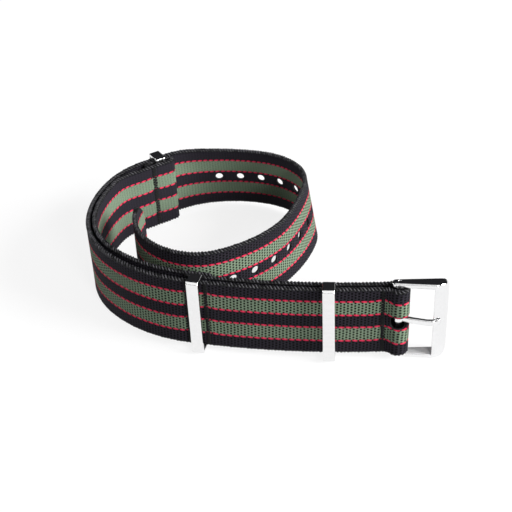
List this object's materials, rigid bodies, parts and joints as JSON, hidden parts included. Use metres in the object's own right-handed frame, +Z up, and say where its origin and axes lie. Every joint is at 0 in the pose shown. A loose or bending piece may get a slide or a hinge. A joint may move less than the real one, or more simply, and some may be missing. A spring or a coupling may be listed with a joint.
{
  "type": "pull-through watch strap",
  "caption": "Striped woven pull-through watch strap, coiled on its edge, with a pin buckle, sprung pin and metal keepers.",
  "frame": {"origin": "On the floor under the centre of the strap's box, with the strap standing on its edge.", "axes": "+X runs along the front of the strap towards the buckle, +Y runs away from the viewer, +Z is up across the strap's width."},
  "size_m": [0.093, 0.0724, 0.0228],
  "materials": {
    "webbing": "woven black, red and grey green stripes",
    "thread": "dense black stitching",
    "keeper_steel": "polished",
    "buckle_steel": "polished",
    "pin_steel": "satin"
  },
  "bodies": {
    "strap": {"main_strap": "webbing", "short_strap": "webbing", "seam_front": "thread", "seam_buckle": "thread", "seam_keeper": "thread", "seam_end": "thread"},
    "sliding_keeper": {"keeper_sliding": "keeper_steel"},
    "fixed_keeper": {"keeper_fixed": "keeper_steel"},
    "end_keeper": {"keeper_end": "keeper_steel"},
    "buckle": {"buckle_frame": "buckle_steel", "pin_tube": "pin_steel", "pin_spring": "pin_steel"},
    "tongue": {"buckle_tongue": "buckle_steel"},
    "upper_plunger": {"pin_plunger_upper": "pin_steel"},
    "lower_plunger": {"pin_plunger_lower": "pin_steel"}
  },
  "joints": [
    {"name": "sliding_keeper_along_front", "type": "hinge", "parent": "strap", "child": "sliding_keeper", "pos_m": [0.02108, 0.16678, 0.0114], "axis": [0, 0, 1], "range_deg": [-7.9, 3.1]},
    {"name": "fixed_keeper_play", "type": "slide", "parent": "strap", "child": "fixed_keeper", "axis": [-0.9837, 0.1799, 0], "range_m": [-0.00055, 0.00055]},
    {"name": "end_keeper_play", "type": "slide", "parent": "strap", "child": "end_keeper", "axis": [0.8132, 0.582, 0], "range_m": [-0.0008, 0.0009]},
    {"name": "buckle_turn", "type": "hinge", "parent": "strap", "child": "buckle", "pos_m": [0.0344, -0.03245, 0.0114], "axis": [0, 0, 1], "range_deg": [-20, 25]},
    {"name": "tongue_turn", "type": "hinge", "parent": "buckle", "child": "tongue", "pos_m": [0.0344, -0.03245, 0.0114], "axis": [0, 0, 1], "range_deg": [-75, 0]},
    {"name": "upper_plunger_press", "type": "slide", "parent": "buckle", "child": "upper_plunger", "axis": [0, 0, -1], "range_m": [0, 0.0011], "stiffness_N_per_m": 300, "springref_m": -0.002, "deforming": ["pin_spring"]},
    {"name": "lower_plunger_press", "type": "slide", "parent": "buckle", "child": "lower_plunger", "axis": [0, 0, 1], "range_m": [0, 0.0011], "stiffness_N_per_m": 300, "springref_m": -0.002, "deforming": ["pin_spring"]}
  ]
}
